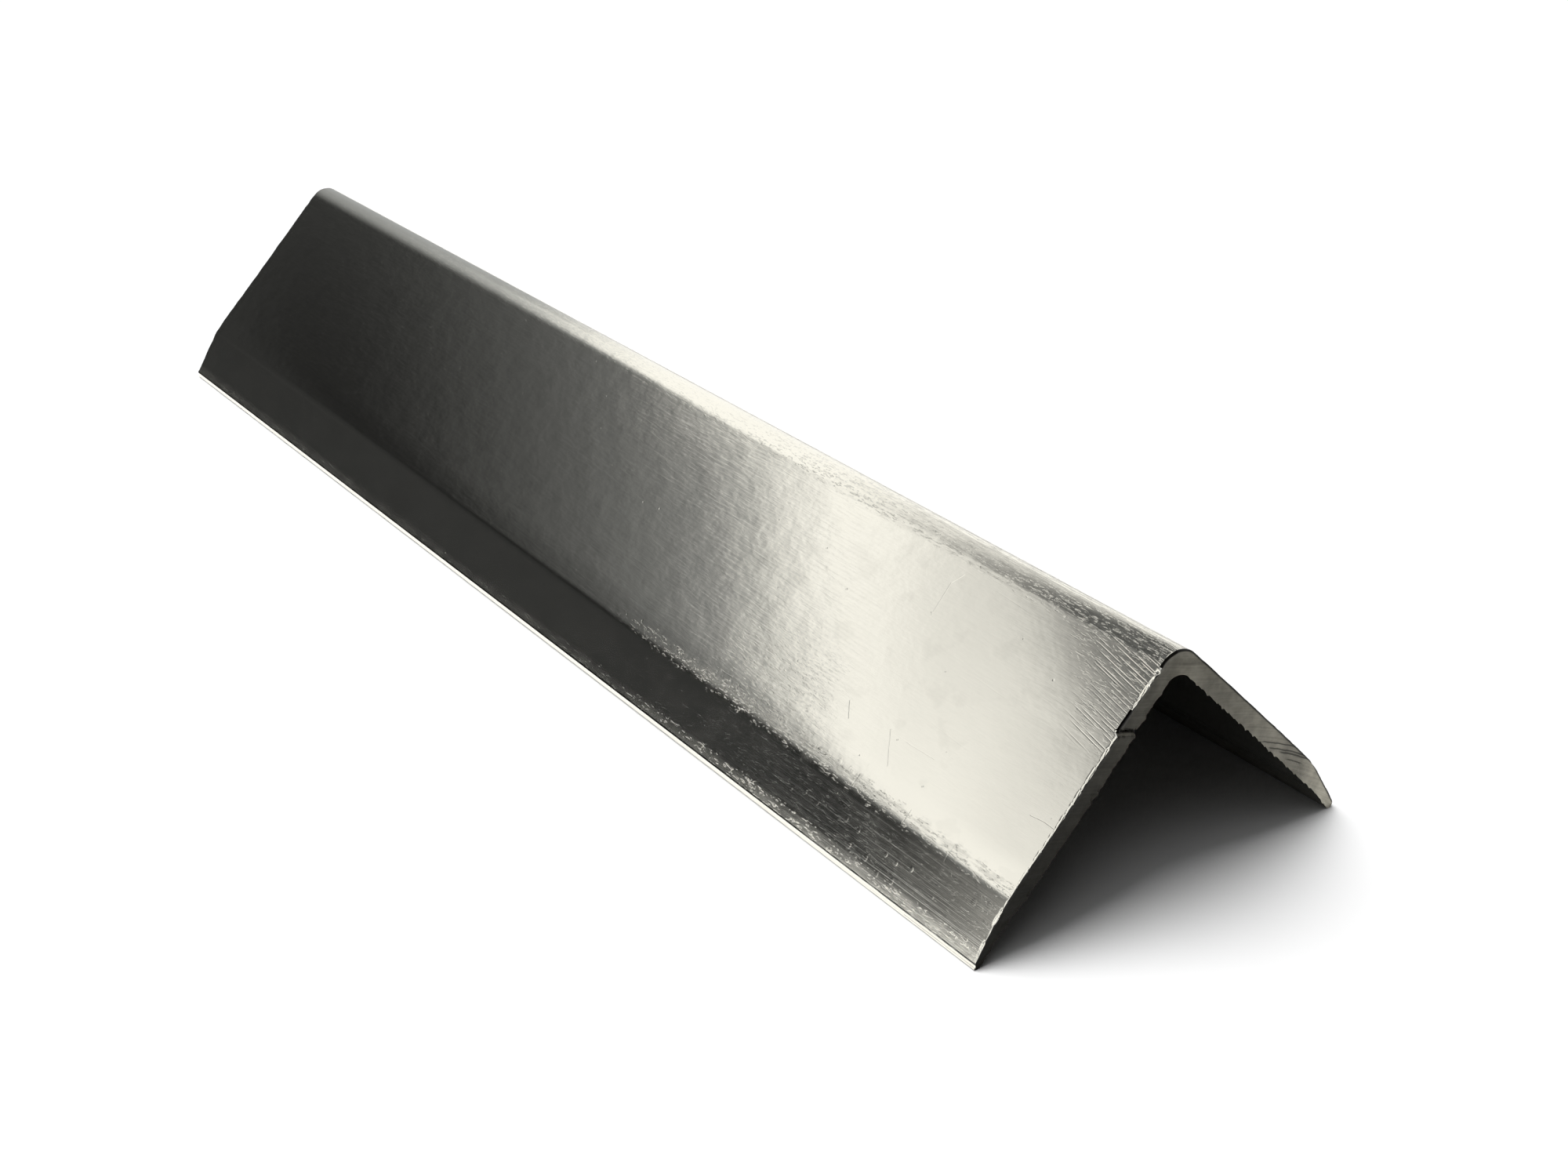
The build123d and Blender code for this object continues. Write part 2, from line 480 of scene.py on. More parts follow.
class Nodes:
    """Short calls to place and link shader nodes. A value may be a number or a socket."""

    def __init__(self, tree):
        self.tree = tree
        tree.nodes.clear()

    def add(self, kind, **settings):
        node = self.tree.nodes.new(kind)
        for key, value in settings.items():
            setattr(node, key, value)
        return node

    def plug(self, source, target):
        self.tree.links.new(source, target)

    def put(self, socket, value):
        if isinstance(value, bpy.types.NodeSocket):
            self.plug(value, socket)
        else:
            socket.default_value = value

    def fill(self, node, keys, values):
        for key, value in zip(keys, values):
            self.put(node.inputs[key], value)

    def math(self, operation, *values):
        node = self.add("ShaderNodeMath", operation=operation)
        self.fill(node, (0, 1, 2), values)
        return node.outputs[0]

    times = partialmethod(math, "MULTIPLY")
    fused = partialmethod(math, "MULTIPLY_ADD")  # the first times the second, plus the third
    plus = partialmethod(math, "ADD")
    minus = partialmethod(math, "SUBTRACT")
    over = partialmethod(math, "DIVIDE")
    size = partialmethod(math, "ABSOLUTE")
    least = partialmethod(math, "MINIMUM")
    most = partialmethod(math, "MAXIMUM")

    def apart(self, first, second):
        return self.size(self.minus(first, second))

    def distance(self, u, w):
        return self.math("SQRT", self.plus(self.times(w, w), self.times(u, u)))

    def sum(self, *terms):
        """Sum of (factor, socket) pairs."""
        total = 0.0
        for factor, socket in terms:
            total = self.fused(socket, factor, total)
        return total

    def after(self, earlier, value):
        """The same value, worked out once another one is known.

        The renderer goes through a tree level by level and has room for only so many values on a level. So
        parts that could stand side by side are put in a line with this."""
        return self.fused(earlier, FAINT, value)

    def vector(self, x, y, z=0.0):
        node = self.add("ShaderNodeCombineXYZ")
        self.fill(node, "XYZ", (x, y, z))
        return node.outputs[0]

    def split(self, vector):
        node = self.add("ShaderNodeSeparateXYZ")
        self.plug(vector, node.inputs[0])
        return node.outputs

    def noise(self, vector, detail=2.0, rough=0.5, warp=0.0):
        """Noise from 0 to 1, with the pattern's pitch already in the vector."""
        node = self.add("ShaderNodeTexNoise")
        names = ("Vector", "Scale", "Detail", "Roughness", "Distortion")
        self.fill(node, names, (vector, 1.0, detail, rough, warp))
        return node.outputs["Fac"]

    def chance(self, x, y=0.0, z=0.0):
        """A random value from 0 to 1 for each cell."""
        node = self.add("ShaderNodeTexWhiteNoise", noise_dimensions="3D")
        self.plug(self.vector(x, y, z), node.inputs["Vector"])
        return node.outputs["Value"]

    def ramp(self, value, low, high, start=0.0, end=1.0):
        """From one level to another, smoothly, between two places."""
        node = self.add("ShaderNodeMapRange", interpolation_type="SMOOTHSTEP")
        names = ("Value", "From Min", "From Max", "To Min", "To Max")
        self.fill(node, names, (value, low, high, start, end))
        return node.outputs["Result"]

    def graded(self, value, *ramps):
        """A value times ramps, each given by what it goes by and its places and levels."""
        for place, ramp in ramps:
            value = self.times(value, self.ramp(place, *ramp))
        return value

    def band(self, value, low, high, soft):
        """1 between two places and 0 outside them."""
        rise = self.ramp(value, low - soft, low)
        return self.times(rise, self.ramp(value, high, high + soft, 1.0, 0.0))

    def both(self, first, second, ramps):
        """The product of two ramps."""
        return self.times(self.ramp(first, *ramps[0]), self.ramp(second, *ramps[1]))

    def mix(self, share, first, second, blend="MIX"):
        """Colours, mixed."""
        node = self.add("ShaderNodeMix", data_type="RGBA", blend_type=blend)
        self.fill(node, (0, 6, 7), (share, first, second))
        return node.outputs[2]

    def curve(self, value, points):
        """A grey level that runs straight between (place, level) points, with places from 0 to 1."""
        node = self.add("ShaderNodeValToRGB")
        node.color_ramp.interpolation = "LINEAR"
        stops = node.color_ramp.elements
        while len(stops) < len(points):
            stops.new(0.5)
        for stop, (place, level) in zip(stops, points):
            stop.position = place
            stop.color = grey(level)
        self.put(node.inputs[0], value)
        return node.outputs[0]

    def surface(self, shader, kind="ShaderNodeOutputMaterial"):
        """The tree's output."""
        self.plug(shader.outputs[0], self.add(kind).inputs["Surface"])


def new_object(name, data):
    obj = bpy.data.objects.new(name, data)
    bpy.context.scene.collection.objects.link(obj)
    return obj


def new_material(name):
    material = bpy.data.materials.new(name)
    material.use_nodes = True
    return material, Nodes(material.node_tree)


# ---- parts of the metal's look

# Places on the stock are in millimetres: x along it, s across both faces with the left one below 0, d into
# the wall, and a down the leg.

def stock_place(n):
    """x, s and d."""
    place = n.add("ShaderNodeTexCoord").outputs["Object"]
    x, y, z = (n.times(socket, 1 / MM) for socket in n.split(place))
    drop = n.minus(HEEL_HEIGHT, z)
    across = n.times(y, sqrt(2))
    depth = n.times(n.minus(drop, n.size(y)), sqrt(0.5))
    return x, across, depth


def pattern(n, x, s, d, along, across, *character):
    """Noise with so many features to the millimetre along the stock and across it."""
    place = n.vector(n.times(x, along), n.times(s, across), d)
    return n.noise(place, *character)


LINE_SHIFT = (0.6, 0.2)  # a hairline lies this share of its strip to the side: range and least
LINE_STAGGER = 9.0  # and starts up to this many of its lengths along
LINE_ENDS = ((0.0, 0.2), (0.6, 1.0, 1.0, 0.0))  # shares of its length over which it begins and ends


def hairlines(n, x, across, angle, pitch, length, width, share, seed):
    """Straight hairline scratches at an angle to the stock: 1 on a scratch and 0 between them."""
    turned, crossed = cos(angle), sin(angle)
    u = n.sum((turned, x), (crossed, across))
    w = n.over(n.sum((-crossed, x), (turned, across)), pitch)
    strip = n.math("FLOOR", w)
    place = n.minus(n.math("FRACT", w), n.fused(n.chance(strip, seed), *LINE_SHIFT))
    stagger = n.chance(strip, seed, 1.0)
    u = n.fused(stagger, LINE_STAGGER, n.over(u, length))
    cell, part = n.math("FLOOR", u), n.math("FRACT", u)
    ends = n.both(part, part, LINE_ENDS)
    shown = n.math("LESS_THAN", n.chance(strip, cell, seed + 0.5), share)
    line = n.ramp(n.size(place), 0.0, width / pitch, 1.0, 0.0)
    return n.times(n.times(line, ends), shown)


def wandering(n, value, along, features, place, reach, *character):
    """A value that wanders by up to some reach along a line, with so many features to the millimetre."""
    return n.fused(n.noise(n.vector(n.times(along, features), place), *character), reach, value)


def mark(n, x, across, start, end, width):
    """One scratch between two places on the left face: 1 along it and 0 elsewhere."""
    along = Vector(end) - Vector(start)
    length = along.length
    dx, dy = along / length
    px, py = n.minus(x, start[0]), n.minus(across, start[1])
    u = n.least(n.most(n.sum((dx, px), (dy, py)), 0.0), length)
    px, py = n.sum((1.0, px), (-dx, u)), n.sum((1.0, py), (-dy, u))
    return n.ramp(n.distance(py, px), 0.0, width, 1.0, 0.0)


SPECK_LEAST = 0.4  # the smallest speck's radius, as a share of the given one
SPECK_EDGE = (0.4, 1.0, 1.0, 0.0)


def specks(n, x, across, pitch, radius, share, seed):
    """Small round specks: 1 in the middle of one and 0 between them."""
    node = n.add("ShaderNodeTexVoronoi", voronoi_dimensions="2D")
    place = n.vector(n.fused(x, 1 / pitch, seed), n.over(across, pitch))
    n.fill(node, ("Vector", "Scale"), (place, 1.0))
    pick, extra, _ = n.split(node.outputs["Color"])
    size = n.fused(extra, radius / pitch, SPECK_LEAST * radius / pitch)
    speck = n.ramp(n.over(node.outputs["Distance"], size), *SPECK_EDGE)
    return n.times(speck, n.math("LESS_THAN", pick, share))


def metal(n, colour, rough, anisotropy, height, unit):
    """The shader and its bump. unit is the height of 1, in metres."""
    shader = n.add("ShaderNodeBsdfPrincipled")
    names = ("Base Color", "Metallic", "Roughness", "Anisotropic")
    n.fill(shader, names, (colour, 1.0, rough, anisotropy))
    tangent = n.add("ShaderNodeTangent", direction_type="RADIAL", axis="X")
    n.plug(tangent.outputs[0], shader.inputs["Tangent"])
    bump = n.add("ShaderNodeBump")
    n.fill(bump, ("Strength", "Distance", "Height"), (1.0, unit, height))
    n.plug(bump.outputs[0], shader.inputs["Normal"])
    n.surface(shader)


def taper_fall(n, a):
    """How far the outer surface lies below the plane of the face."""
    return n.times(n.most(n.minus(a, SHOULDER), 0.0), TAPER_DROP / TAPER_LENGTH)


# ---- mill-finish aluminium

# Ramps run from one place to another and from one level to another, or from 0 to 1. Those called ALONG and
# END go by x, those called DOWN by a, and the pairs called WEAR and HEIGHT by a and x unless it is said here.

COARSE_FLAKES = (1.0, 5.0, 2.0, 0.6, 0.1)  # features along and across, octaves, roughness and warp
FINE_FLAKES = (0.8, 3.8, 3.0, 0.65, 0.15)
FINE_DEPTH = 7.0  # where in the noise the fine ones lie, apart from the coarse ones
COARSE_SHARE = 0.4
RAISED = (0.58, 0.65)  # a flake is raised or pressed where the noise passes these
PRESSED = (0.41, 0.34)

HEEL_WEAR = ((2.0, 2.7, 1.0, 0.0), (5.0, 40.0, 0.3, 1.2))
CORNER_SLANT = 0.9  # the crushed corner beside the cut ends on a slanting line
CORNER_ALONG = (53.0, 56.0)
CORNER_DOWN = (7.0, 10.0, 0.35, 0.0)
SHOULDER_WANDER = (0.8, 3.0, 1.6, 3.0, 0.6)  # features, place in the noise, reach, octaves and roughness
SHOULDER_BAND = (20.1, 20.8, 0.5)
SHOULDER_ALONG = (14.0, 32.0, 0.1, 2.4)
SHOULDER_END = (46.0, 58.0, 1.0, 0.3)
TAPER_DOWN = (20.2, 20.8)
TAPER_WEAR = ((-20.0, 40.0, 0.1, 0.45), (48.0, 58.0, 1.0, 0.6))  # both by x
FROST_PLACE = 36.0  # a faint frosted patch lies across the face here
FROST = ((3.0, 9.0, 0.45, 0.0), (10.0, 17.0))  # by the distance from it, and by a
TOE_WEAR = ((23.5, 24.0), (10.0, 62.0, 0.5, 3.2))


def crushed(n, x, s, d):
    """Small raised and pressed flakes with crisp edges, drawn out along the stock."""
    coarse = pattern(n, x, s, d, *COARSE_FLAKES)
    fine = pattern(n, x, s, n.plus(d, FINE_DEPTH), *FINE_FLAKES)
    return n.sum((COARSE_SHARE, coarse), (1.0, n.ramp(fine, *RAISED)), (-1.0, n.ramp(fine, *PRESSED)))


def wear(n, x, a):
    """How crushed the surface is: at the heel, the toe, the saw's corner, and the taper and its shoulder."""
    heel = n.both(a, x, HEEL_WEAR)
    corner = n.ramp(n.sum((1.0, x), (-CORNER_SLANT, a)), *CORNER_ALONG)
    corner = n.graded(corner, (a, CORNER_DOWN))
    shoulder = n.band(wandering(n, a, x, *SHOULDER_WANDER), *SHOULDER_BAND)
    shoulder = n.graded(shoulder, (x, SHOULDER_ALONG), (x, SHOULDER_END))
    taper = n.times(n.ramp(a, *TAPER_DOWN), n.both(x, x, TAPER_WEAR))
    taper = n.most(taper, n.both(n.apart(x, FROST_PLACE), a, FROST))
    toe = n.both(a, x, TOE_WEAR)
    most = n.most(n.most(heel, toe), corner)
    return n.most(most, n.most(shoulder, taper))


# Single scratches on the left face: from and to, as x and s, and the width.
SCRATCHES = (((50.0, -17.4), (48.3, -15.2), 0.06), ((44.4, -16.2), (43.5, -15.1), 0.06),
             ((45.7, -3.2), (45.1, -4.2), 0.05), ((45.1, -4.2), (45.3, -6.9), 0.05),
             ((64.9, -14.6), (62.6, -14.7), 0.05), ((53.2, -15.2), (50.2, -15.3), 0.05),
             ((42.7, -20.2), (40.4, -20.25), 0.07), ((58.8, -19.1), (58.8, -20.3), 0.07),
             ((54.0, -18.9), (54.0, -20.1), 0.07), ((48.3, -19.0), (48.25, -20.3), 0.09))
SCRATCH_WANDER = (0.9, 0.3)  # features to the millimetre, and reach


def scratches(n, x, s):
    features, reach = SCRATCH_WANDER
    bend = n.noise(n.vector(n.times(x, features), s))
    s = n.fused(bend, reach, n.minus(s, reach / 2))
    total = 0.0
    for scratch in SCRATCHES:
        total = n.most(mark(n, x, s, *scratch), total)
        x = n.after(total, x)
    return total


# The metal as it was drawn. Noise is given by its features along and across, octaves, roughness and warp.
DIE_LINES = (0.04, 6.0, 3.0, 0.65)
FLECKS = (0.45, 4.5, 4.0, 0.7, 0.5)
CLOUDS = (0.30, 0.40, 3.0, 0.55)
SPOTS = (2.1, 0.08, 0.10, 2.5)  # pitch, radius, share and seed
FLECKS_ALONG = (38.0, 50.0, 3.2, 0.8)  # heights here and below are in thousandths of a millimetre
FLECKS_DOWN = (20.2, 20.8, 1.0, 0.45)
CLOUDS_ALONG = (38.0, 54.0, 14.0, 6.0)
SPOT_DEPTH = 3.0
TOE_EDGE = (24.5, 24.7, 1.0, 0.0)  # the relief ends at the toe
LINES_HEIGHT = ((19.8, 20.6), (25.0, 60.0, 1.0, 12.0))
LINES_LEAST = 0.2


def drawn_surface(n, x, s, d, a):
    """The height of the metal as drawn, its flecks and clouds, and a mask that ends at the toe."""
    lines = pattern(n, x, s, d, *DIE_LINES)
    flecks = pattern(n, x, s, d, *FLECKS)
    flecked = n.graded(flecks, (x, FLECKS_ALONG), (a, FLECKS_DOWN))
    clouds = pattern(n, x, s, d, *CLOUDS)
    spots = specks(n, x, s, *SPOTS)
    height = n.sum((1.0, flecked), (-SPOT_DEPTH, spots))
    height = n.fused(clouds, n.ramp(x, *CLOUDS_ALONG), height)
    before_toe = n.ramp(a, *TOE_EDGE)
    drawn = n.times(n.both(a, x, LINES_HEIGHT), before_toe)
    height = n.fused(lines, n.plus(drawn, LINES_LEAST), height)
    return height, flecks, clouds, before_toe


# Hairlines are given by their angle to the stock, pitch, length, width, share and seed.
DRAG_LINES = (radians(-11), 0.29, 4.5, 0.06, 0.8, 1.0)
DRAG_SLANT = 0.4  # the drag marks begin on a slanting line
DRAG_ALONG = (56.5, 60.5)
DRAG_DOWN = (8.3, 9.8, 1.0, 0.0)
DRAG_GAP_PLACE = 5.8  # they are fainter about here
DRAG_GAP_ASIDE = (1.0, 2.0, 0.35, 1.0)
TAPER_LINES = (0.0, 0.13, 12.0, 0.035, 0.7, 4.0)
TAPER_LINES_ALONG = (46.0, 62.0, 0.15, 1.0)
TAPER_LINES_DOWN = (21.3, 23.8)
STRAY_LINES = ((radians(-3), 1.9, 5.0, 0.04, 0.22, 2.0), (radians(86), 2.3, 1.6, 0.04, 0.12, 3.0))
BLISTERS = (1.5, 0.20, 0.50, 5.5)  # pitch, radius, share and seed
BLISTERS_DOWN = (20.8, 21.4)
BLISTERS_ALONG = ((34.0, 42.0), (57.0, 61.0, 1.0, 0.3))  # both by x


def drag_marks(n, x, later, s, a):
    """Slanting hairlines beside the cut, where the saw's chips were dragged over the face."""
    where = n.ramp(n.sum((1.0, x), (-DRAG_SLANT, a)), *DRAG_ALONG)
    where = n.graded(where, (a, DRAG_DOWN))
    where = n.graded(where, (n.apart(a, DRAG_GAP_PLACE), DRAG_GAP_ASIDE))
    return n.times(hairlines(n, later, s, *DRAG_LINES), where)


def taper_lines(n, x, later, s, a, before_toe):
    """Fine lines along the taper, clearer towards the near end."""
    lines = n.graded(hairlines(n, later, s, *TAPER_LINES), (x, TAPER_LINES_ALONG))
    return n.times(lines, n.times(n.ramp(a, *TAPER_LINES_DOWN), before_toe))


def taper_blisters(n, x, later, s, a, before_toe):
    """Small blisters on the taper's near half."""
    blisters = specks(n, later, s, *BLISTERS)
    blisters = n.times(blisters, n.times(n.ramp(a, *BLISTERS_DOWN), before_toe))
    return n.times(blisters, n.both(x, x, BLISTERS_ALONG))


ROUGHNESS = 0.04  # of the smoothest metal
TOE_DULL = (23.6, 24.5)
TAPER_DULL = ((20.0, 21.0), (0.35, 0.65))  # by a, and by the clouds
DULL_SHARES = (0.05, 0.03, 0.06, 0.03, 0.06, 0.03)  # what each of the patterns and places adds


def roughness(n, a, flecks, clouds, drag, worn_here, before_toe):
    toe = n.times(n.ramp(a, *TOE_DULL), before_toe)
    taper = n.both(a, clouds, TAPER_DULL)
    more = n.sum(*zip(DULL_SHARES, (flecks, clouds, drag, worn_here, toe, taper)))
    return n.plus(ROUGHNESS, more)


METAL_COLOURS = ((0.96, 0.935, 0.83, 1), (1.0, 0.97, 0.86, 1))
INSIDE_SHADE_COLOUR = (0.42, 0.41, 0.36, 1)  # painted shade: the inner faces are darkened
INSIDE_SHADE_DEPTH = (0.60, 0.75)  # and begin between these depths below the outer face
GRIME = (0.12, 0.12, 0.11, 1)
GRIME_FLECKS = (0.42, 0.62, 0.0, 0.30)  # dirt lies between the crushed flakes
GRIME_ALONG = (24.0, 50.0)
HAZE_BAND = (10.0, 17.0, 2.0)  # a faint haze down the leg
HAZE_ALONG = (54.0, 63.0, 0.0, 0.12)
SMUDGES = ((0.54, 0.66, 0.0, 0.06), (2.0, 4.0))  # by the clouds, and by a
TOE_SEAM = (24.60, 24.68, 0.04)  # dirt lies in a line along the toe
SEAM_FLECKS = (0.30, 0.55, 0.2, 1.0)


def face_colour(n, x, d, a, flecks, clouds, worn_here):
    """The metal's colour, with its grime, the grimy seam at the toe and painted shade on the inner faces."""
    colour = n.mix(clouds, *METAL_COLOURS)
    grime = n.graded(n.least(worn_here, 1.0), (flecks, GRIME_FLECKS), (x, GRIME_ALONG))
    haze = n.graded(n.band(a, *HAZE_BAND), (x, HAZE_ALONG))
    smudge = n.both(clouds, a, SMUDGES)
    grime = n.most(grime, n.most(haze, smudge))
    seam = n.graded(n.band(a, *TOE_SEAM), (flecks, SEAM_FLECKS))
    colour = n.mix(n.most(grime, seam), colour, GRIME)
    # Painted shade darkens the inner faces.
    below = n.minus(d, taper_fall(n, a))
    return n.mix(n.ramp(below, *INSIDE_SHADE_DEPTH), colour, INSIDE_SHADE_COLOUR)


# Height of the drawn metal, flakes, drag marks, taper's lines, stray lines, blisters and single scratches.
HEIGHTS = (1.0, 5.0, -3.2, 2.4, -0.35, 4.5, -1.4)
RELIEF_UNIT = 0.000001  # in metres
ANISOTROPY = 0.6  # the metal was drawn along its length


def aluminium():
    """Mill-finish aluminium: die lines along the stock, soft blotches, crushed places and scratches."""
    material, n = new_material("mill_aluminium")
    x, s, d = stock_place(n)
    a = n.plus(n.size(s), n.most(d, 0.0))
    height, flecks, clouds, before_toe = drawn_surface(n, x, s, d, a)
    later = n.after(height, x)
    worn_here = n.times(wear(n, later, a), before_toe)
    flakes = n.times(crushed(n, later, s, d), worn_here)
    drag = drag_marks(n, x, n.after(flakes, x), s, a)
    lines = taper_lines(n, x, n.after(drag, x), s, a, before_toe)
    later = n.after(lines, x)
    stray = n.most(*(hairlines(n, later, s, *given) for given in STRAY_LINES))
    blisters = taper_blisters(n, x, n.after(stray, x), s, a, before_toe)
    single = scratches(n, n.after(blisters, x), s)
    height = n.sum(*zip(HEIGHTS, (height, flakes, drag, lines, stray, blisters, single)))
    rough = roughness(n, a, flecks, clouds, drag, worn_here, before_toe)
    colour = face_colour(n, x, d, a, flecks, clouds, worn_here)
    metal(n, colour, rough, ANISOTROPY, height, RELIEF_UNIT)
    return material


# ---- sawn aluminium

RIM_GRIME = (0.08, 0.20, 0.08, 1.0)  # black dirt at the cut's outer edge, by the depth below the face
# The cut's tone: partly the dull, grimy cut, partly painted shade that makes it darker and darker down the
# left leg.
CUT_TONE_AND_SHADE = ((0.0, 0.013), (0.15, 0.014), (0.30, 0.024), (0.38, 0.038), (0.44, 0.052), (0.50, 0.100),
            (0.53, 0.125), (0.56, 0.105), (0.58, 0.085), (0.64, 0.105), (0.72, 0.130), (0.78, 0.150),
            (0.82, 0.115), (0.86, 0.130), (0.90, 0.245), (1.0, 0.29))  # from the left toe to the right toe
CUT_TINT = (1.0, 0.95, 0.78, 1)
STROKE_PATTERN = (0.12, 7.0, 4.0, 0.7, 0.2)  # features along and across, octaves, roughness and warp
DIRT_PATTERN = (0.8, 0.8, 3.0, 0.6)
TONE_SPREAD = (0.3, 0.7)  # the patterns' levels that count as none and all
STROKE_SHARE = 0.6
DIRT_SHARE = 0.8
TONE_CHANGE = (0.5, 0.7)  # how much the patterns change the tone, and its least
NICK_ACROSS, LEDGE_ACROSS = (-(1 + STROKE_SLOPE) * sqrt(0.5) * place for place in (NICK, LEDGE))
NICK_BAND = (NICK_ACROSS - 0.03, NICK_ACROSS + 0.03, 0.04)  # across the strokes: from, to and how softly
LEDGE_BAND = (LEDGE_ACROSS - 0.05, LEDGE_ACROSS + 0.03, 0.05)
# Painted shade darkens the nick, and a painted highlight lightens the ledge below it.
NICK_PAINTED_SHADE = (0.0, 1.0, 1.0, 0.1)
LEDGE_PAINTED_HIGHLIGHT = (0.0, 1.0, 1.0, 2.4)
# Painted shade darkens the deepest strokes.
DEEP_STROKE_SHADE = (0.0, 1.0, 1.0, 0.3)
# The deepest strokes on the right leg: their place across the strokes, from and to which y, and half width.
DEEP_STROKES = ((-7.77, 8.8, 12.0, 0.03), (-8.22, 9.6, 12.9, 0.04), (-8.44, 10.8, 13.7, 0.05),
                (-8.94, 11.6, 12.5, 0.03))
DEEP_REACH = 0.14
DEEP_WANDER = (0.9, 4.0, DEEP_REACH)  # features to the millimetre, place in the noise, and reach
DEEP_SOFT = (0.05, 0.7)  # how softly they end across and along
CUT_ROUGH = (0.12, 0.26)  # how much the dirt adds, and the least
CUT_UNIT = 0.00001  # height of the strokes' bump, in metres


def deep_strokes(n, y, across):
    bent = wandering(n, across, y, *DEEP_WANDER)
    soft_across, soft_along = DEEP_SOFT
    total = 0.0
    for place, start, end, half in DEEP_STROKES:
        middle = place + DEEP_REACH / 2
        line = n.band(bent, middle - half, middle + half, soft_across)
        total = n.most(n.times(line, n.band(y, start, end, soft_along)), total)
    return total


def rim_depth(n, a, d):
    """How far a place on the cut lies below the outer surface."""
    to_arc = n.distance(*(n.most(n.minus(HEEL_RADIUS, v), 0.0) for v in (a, d)))
    return n.minus(n.minus(HEEL_RADIUS, to_arc), taper_fall(n, a))


def across_strokes(n, y, z):
    """The coordinate of stroke_line, for the shader."""
    bend = n.most(n.minus(y, CURVE_START), 0.0)
    return n.sum((1.0, z), (STROKE_SLOPE, y), (STROKE_CURVE, n.times(bend, bend)))


def sawn_aluminium():
    """The cut faces: dull and grimy, with the strokes of the saw, painted shade down the left leg, in the
    deepest strokes and in the nick, and a painted highlight on the ledge.
    """
    material, n = new_material("sawn_aluminium")
    x, s, d = stock_place(n)
    a = n.plus(n.size(s), d)
    below = rim_depth(n, a, d)
    y = n.times(s, sqrt(0.5))
    z = n.sum((-sqrt(2), d), (-1.0, n.size(y)))
    across = across_strokes(n, y, z)
    strokes = pattern(n, y, across, 0.0, *STROKE_PATTERN)
    deep = deep_strokes(n, y, across)
    dirt = pattern(n, y, z, 0.0, *DIRT_PATTERN)
    # Partly the cut's own tone, partly painted shade, darker down the left leg.
    tone = n.curve(n.fused(s, 0.5 / LEG_WIDTH, 0.5), CUT_TONE_AND_SHADE)
    vary = n.sum((STROKE_SHARE, n.ramp(strokes, *TONE_SPREAD)), (DIRT_SHARE, n.ramp(dirt, *TONE_SPREAD)))
    tone = n.times(tone, n.fused(vary, *TONE_CHANGE))
    # Painted shade in the deepest strokes.
    tone = n.graded(tone, (deep, DEEP_STROKE_SHADE))
    on_left = n.math("LESS_THAN", s, 0.0)
    # Painted shade in the nick and a painted highlight on the ledge below it.
    in_nick, on_ledge = (n.times(n.band(across, *place), on_left) for place in (NICK_BAND, LEDGE_BAND))
    tone = n.graded(tone, (in_nick, NICK_PAINTED_SHADE), (on_ledge, LEDGE_PAINTED_HIGHLIGHT), (below, RIM_GRIME))
    colour = n.mix(1.0, grey(0), tone)
    colour = n.mix(1.0, colour, CUT_TINT, "MULTIPLY")
    metal(n, colour, n.fused(dirt, *CUT_ROUGH), 0.0, strokes, CUT_UNIT)
    return material


# ---- the piece

SHARP_ANGLE = radians(16)


def build_section():
    mesh = section_mesh()
    piece = new_object("angle_stock", mesh)
    mesh.materials.append(aluminium())
    mesh.materials.append(sawn_aluminium())
    mesh.shade_smooth()
    mesh.set_sharp_from_angle(angle=SHARP_ANGLE)
    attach(piece, "root")
    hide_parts(NODE)
    return piece


# ---- stage

SQUARE = ((-1, -1), (1, -1), (1, 1), (-1, 1))
FLOOR_SIZE = 20.0  # half its side, in metres
FLOOR_BOUNCE = 0.12  # how much of the light that falls on it the floor passes on
FLOOR_POOL = (0.04, 0.20)  # the metal sees the floor grow darker between these distances to either side
FLOOR_FAR = 0.35

# Two dark flags hang across the far end of the studio, one low and one high, with the white wall showing
# between them. Places on them are given as Y and Z over their distance from the stock.
FLAG_AWAY = 8.0
FLAG_TINT = (0.93, 0.96, 1.0, 1)
LOW_FLAG = (-1.70, 0.85, 0.0, 0.80)  # its sides, foot and top
# Its top ends softly between these heights, in an arc down to +Y, and its -Y end between these places.
LOW_EDGE = ((0.656, 0.756, 1.0, 0.0), (-1.06, -1.70, 1.0, 0.0))
LOW_NOTCH = (-0.46, 0.075, 0.045)  # where its top edge dips, how wide and how deep
LOW_GLOW = ((0.0, 0.004), (0.25, 0.006), (0.34, 0.024), (0.50, 0.030), (0.57, 0.014), (0.61, 0.018),
            (0.66, 0.03), (0.71, 0.055), (0.79, 0.09), (0.86, 0.14), (0.93, 0.22), (1.0, 0.30))
LOW_TOP = 0.7  # the height at which its glow reaches the last level
LOW_SIDE = 0.36  # how much paler it grows towards +Y
LOW_PALER = (-0.45, 0.60)  # between these
LOW_FOOT = ((0.34, 0.10), (-0.85, -1.30, 0.03, 0.55))  # its foot glows: ramps by Z, and towards -Y
HIGH_FLAG = (-1.40, 1.45, 0.60, 1.45)
HIGH_EDGE = (0.94, 1.24)
HIGH_MIDDLE = 0.1  # from here its edge curves down to both sides
HIGH_BOW = 0.38
HIGH_CORNER = (0.690, 0.920)  # its -Y corner is cut off at a slant
HIGH_SPREAD = 0.5  # which opens with the distance from the middle
HIGH_LEVEL = 0.09
VEIL_REACH = (0.93, 1.12)  # a thin veil hangs beside it
VEIL_SLANT = 0.21
VEIL_WEIGHT = (1.25, 0.08)  # how much denser it gets with the slant, and its least

